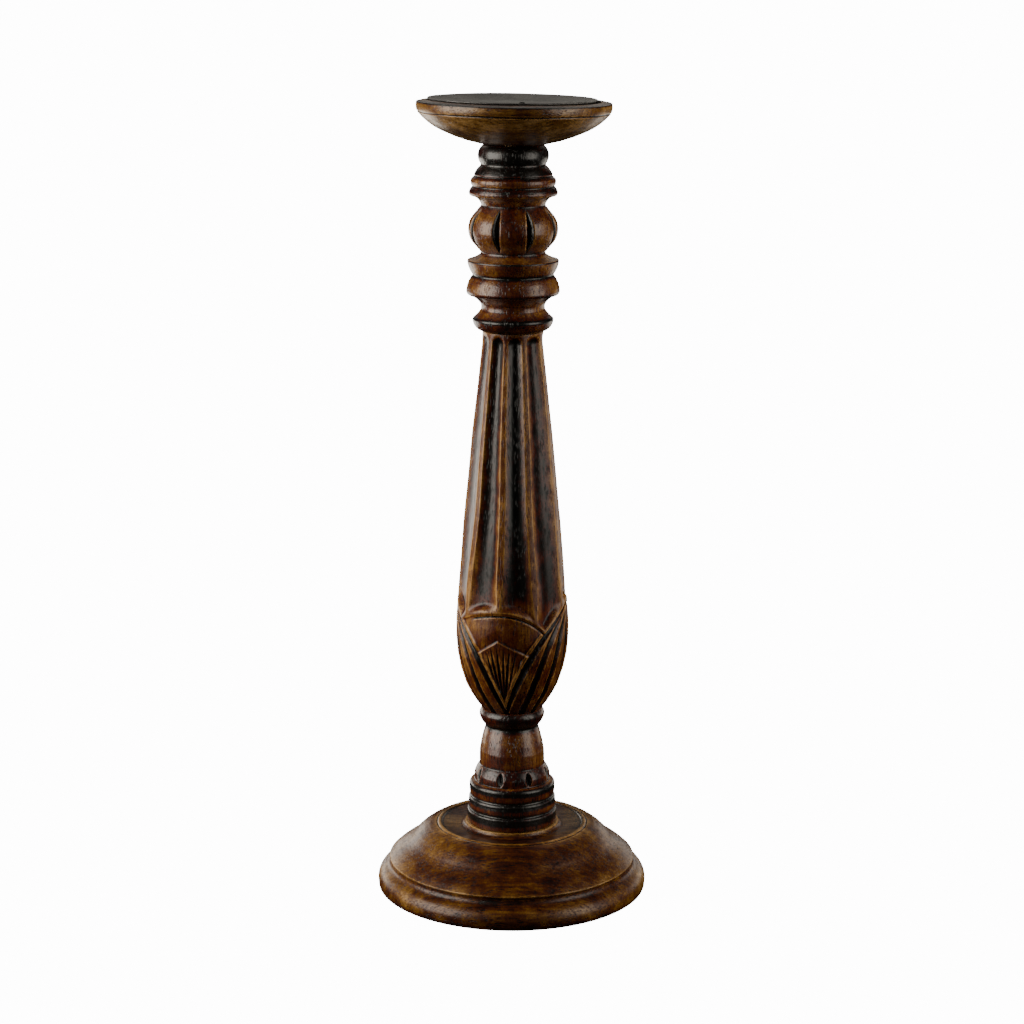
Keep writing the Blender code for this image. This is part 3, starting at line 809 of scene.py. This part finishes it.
def leans_with_dish(shift_x=0.0, shift_y=0.0):
    """A function that moves points sideways in the level dish, then leans them about its seat with it."""

    def lean(points):
        turn = math.radians(DISH_LEAN)
        x = points[..., 0] + shift_x
        z = points[..., 2] - DISH_BOTTOM
        leaning = points.copy()
        leaning[..., 0] = x * math.cos(turn) + z * math.sin(turn)
        leaning[..., 1] += shift_y
        leaning[..., 2] = z * math.cos(turn) - x * math.sin(turn) + DISH_BOTTOM
        return leaning

    return lean


def make_candle_dish():
    points = outline(
        (8.0, DISH_BOTTOM),
        (17.2, DISH_BOTTOM),
        (19.5, 432.8),
        (40.6, 439.8, 0.7),
        (53.2, 449.4, 0.87),
        (53.1, 450.0),
        (53.8, 450.6),
        (54.2, 453.4, 0.1),
        (54.0, 455.0),
        (53.5, 455.3, 0.1),
        (48.7, 456.2, 0.05),
        (48.0, 455.8, 0.1),
        (47.4, RECESS_FLOOR),
        (40.0, RECESS_FLOOR),
    )
    bore_end = DISH_BOTTOM + DISH_DOWEL_BORE_DEPTH
    bore = [(CORE, bore_end), (DISH_BORE, bore_end), (DISH_BORE, DISH_BOTTOM)]
    surface = bore + divided(eased(points, 0.25))
    hidden = [(CORE, RECESS_FLOOR)]
    tones = (
        (432, 0.5), (437, 0.22), (444, 0.12), (449, 0.14), (450, 0.7), (451, 0.25), (454.6, 0.25),
        (454.9, 1.2), (455.4, 1.2), (455.8, 0.45),
    )
    piece = turned("dish_turning", surface, hidden, 320, tones=tones, lean=leans_with_dish())
    wood = stained_wood("dish wood", "x", (23.0, 8.0, 4.0), OLIVE_BROWN, 0.22, 0.75, 12.0)
    finished(piece, wood, "candle_dish")


def pan_steel():
    look = Surface("pan steel")
    plain = look.place()
    cloud = look.noise(plain, 14.0, 4.0, 0.6)
    fine = look.noise(plain, 0.8, 3.0, 0.6)
    colour = look.mix(look.spread(cloud, 0.3, 0.7), (0.1, 0.1, 0.099, 1), (0.17, 0.17, 0.168, 1))
    colour = look.mix(look.attribute("hollow"), colour, (0.02, 0.019, 0.018, 1))
    rough = look.spread(fine, 0.3, 0.7, 0.38, 0.5)
    height = look.math("ADD", look.math("MULTIPLY", fine, 0.3), cloud)
    look.set(Base_Color=colour, Metallic=0.6, Roughness=rough, Normal=look.bump(height, 0.05))
    return look.material


def make_drip_pan():
    points = outline(
        (2.0, PAN_FLOOR),
        (PAN_FLAT_RADIUS, PAN_FLOOR),
        (46.7, PAN_FLOOR + PAN_RISE, 0.5),
        (47.0, PAN_FLOOR + PAN_RISE + 0.4),
        (46.6, PAN_FLOOR + PAN_RISE + 0.8),
        (PAN_FLAT_RADIUS, PAN_TOP, -0.5),
        (0.4, PAN_TOP),
    )
    surface = [(0.4, PAN_FLOOR)] + divided(eased(points, 0.2), 0.6)
    lean = leans_with_dish(PAN_SHIFT)
    piece = turned("pan_pressing", surface, [], 256, tones=((0, 0.0),), wobble=0.05, lean=lean)
    finished(piece, pan_steel(), "drip_pan")


def dark_steel():
    look = Surface("dark steel")
    fine = look.noise(look.place(), 0.5, 3.0)
    colour = look.mix(fine, (0.012, 0.012, 0.012, 1), (0.03, 0.029, 0.028, 1))
    look.set(Base_Color=colour, Metallic=0.7, Roughness=look.spread(fine, 0.3, 0.7, 0.4, 0.6))
    look.set(Normal=look.bump(fine, 0.02))
    return look.material


def make_pan_screw():
    seat = PAN_TOP + FIT / 2
    points = outline(
        (0.05, seat - 8.0),
        (1.0, seat - 7.0),
        (1.0, seat),
        (1.8, seat),
        (1.8, seat + 0.3),
        (0.05, seat + 1.0, 0.3),
    )

    def slot(angle, height, radius):
        """Straight slot across the head, whose depth is also stored as glaze that the dark steel does not
        read.
        """
        across = np.abs(np.cos(np.radians(angle - 30.0))) * radius
        cut = 0.45 * (across < 0.25) * (height > seat + 0.1)
        return cut, cut

    surface = divided(eased(points, 0.1), 0.12)
    lean = leans_with_dish(PAN_SCREW_X, PAN_SCREW_Y)
    piece = turned("pan_fixing_screw", surface, [], 96, slot, wobble=0.0, lean=lean)
    finished(piece, dark_steel(), "pan_screw")


def felt_look():
    look = Surface("felt")
    fibres = look.noise(look.place(), 0.7, 6.0, 0.7, 1.5)
    colour = look.mix(fibres, (0.008, 0.009, 0.008, 1), (0.035, 0.037, 0.034, 1))
    look.set(Base_Color=colour, Roughness=look.spread(fibres, 0.3, 0.7, 0.85, 1.0))
    look.set(Sheen_Weight=0.3, Normal=look.bump(fibres, 0.25))
    return look.material


def make_felt_pad():
    points = outline(
        (CORE, 0.0),
        (71.6, 0.0),
        (72.0, 0.4, 0.1),
        (72.0, 1.4),
        (71.6, FELT_TOP, 0.1),
        (CORE, FELT_TOP),
    )
    piece = turned("felt_disc", divided(points, 1.5), [], 256, wobble=0.0)
    finished(piece, felt_look(), "felt_pad")


def beech():
    look = Surface("beech")
    fibres = look.noise(look.place((1.0, 1.0, 0.08)), 1.2, 4.0)
    colour = look.mix(fibres, (0.42, 0.27, 0.13, 1), (0.62, 0.43, 0.24, 1))
    look.set(Base_Color=colour, Roughness=look.spread(fibres, 0.3, 0.7, 0.55, 0.75))
    look.set(Normal=look.bump(fibres, 0.05))
    return look.material


def zinc():
    look = Surface("zinc")
    cloud = look.noise(look.place(), 3.0, 4.0)
    colour = look.mix(cloud, (0.42, 0.43, 0.45, 1), (0.62, 0.62, 0.6, 1))
    look.set(Base_Color=colour, Metallic=1.0, Roughness=look.spread(cloud, 0.3, 0.7, 0.25, 0.45))
    look.set(Normal=look.bump(cloud, 0.03))
    return look.material


def dress_hidden_pieces():
    """The dowels, the coach screw and its washer keep their CAD shape and get their own finish."""
    finishes = (
        (beech(), ("shaft_dowel", "capital_dowel", "dish_dowel")),
        (zinc(), ("base_screw", "base_washer")),
    )
    for material, names in finishes:
        for name in names:
            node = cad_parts[name]
            node.data.materials.clear()
            node.data.materials.append(material)


def softbox(name, azimuth, distance, height, size, brightness, shine=True, fill=True, aim=0.23):
    """Large area light at an azimuth from the front, positive to the right.

    Lengths are metres, and it points at the stem's axis at the height aim. shine is whether it shows
    in reflections, and fill whether it lights matt surfaces.
    """
    light = bpy.data.lights.new(name, "AREA")
    light.shape = "RECTANGLE"
    light.size, light.size_y = size
    light.energy = brightness * math.pi * size[0] * size[1]
    light.color = LAMP_COLOUR
    lamp = bpy.data.objects.new(name, light)
    turn = math.radians(azimuth)
    lamp.location = (distance * math.sin(turn), -distance * math.cos(turn), height)
    lamp.rotation_euler = (Vector((0, 0, aim)) - lamp.location).to_track_quat("-Z", "Y").to_euler()
    lamp.visible_camera = False
    lamp.visible_glossy = shine
    lamp.visible_diffuse = fill
    bpy.context.scene.collection.objects.link(lamp)


def make_lights():
    softbox("left softbox", -69, 1.35, 0.5, (1.25, 1.5), 5.2, fill=False)
    softbox("right softbox", 63, 1.35, 0.5, (0.9, 1.4), 2.4, fill=False)
    softbox("left fill", -84, 1.35, 0.5, (1.0, 1.5), 15, shine=False)
    softbox("right fill", 84, 1.35, 0.5, (1.0, 1.5), 8.5, shine=False)
    softbox("high back softbox", 180, 1.5, 1.7, (1.6, 1.0), 0.45)
    softbox("back card", 180, 2.5, 1.05, (2.4, 0.6), 0.4)
    softbox("low left card", -140, 0.75, 0.01, (0.6, 0.6), 3.0, fill=False, aim=0.44)
    softbox("low right card", 140, 0.75, 0.01, (0.6, 0.6), 1.2, fill=False, aim=0.44)


def make_world():
    world = bpy.data.worlds.new("studio")
    world.use_nodes = True
    background = world.node_tree.nodes["Background"]
    background.inputs["Color"].default_value = (1.0, 1.0, 1.0, 1.0)
    background.inputs["Strength"].default_value = WORLD_STRENGTH
    bpy.context.scene.world = world


def make_floor():
    """Floor that shines white for the camera and throws hardly any light on the object."""
    bpy.ops.mesh.primitive_circle_add(vertices=128, radius=FLOOR_RADIUS, fill_type="NGON")
    floor = bpy.context.object
    floor.name = "floor"
    floor.location.z = -0.5 * MM
    look = Surface("pale floor")
    look.set(Base_Color=(0.01, 0.01, 0.01, 1.0), Roughness=1.0, IOR=1.0)
    ray = look.add("ShaderNodeLightPath").outputs["Is Camera Ray"]
    glow = look.math("MULTIPLY", ray, FLOOR_GLOW)
    look.set(Emission_Color=(1.0, 1.0, 1.0, 1.0), Emission_Strength=glow)
    floor.data.materials.append(look.material)


def make_camera():
    data = bpy.data.cameras.new("camera")
    data.lens = LENS
    data.sensor_width = SENSOR
    camera = bpy.data.objects.new("camera", data)
    down = Matrix.Rotation(math.radians(90 - CAMERA_TILT), 4, "X")
    roll = Matrix.Rotation(math.radians(CAMERA_ROLL), 4, "Z")
    camera.matrix_world = Matrix.Translation(CAMERA_PLACE) @ down @ roll
    bpy.context.scene.collection.objects.link(camera)
    bpy.context.scene.camera = camera


make_base()
make_lower_stem()
make_fluted_shaft()
make_capital()
make_candle_dish()
make_drip_pan()
make_pan_screw()
make_felt_pad()
dress_hidden_pieces()
make_floor()
make_world()
make_lights()
make_camera()
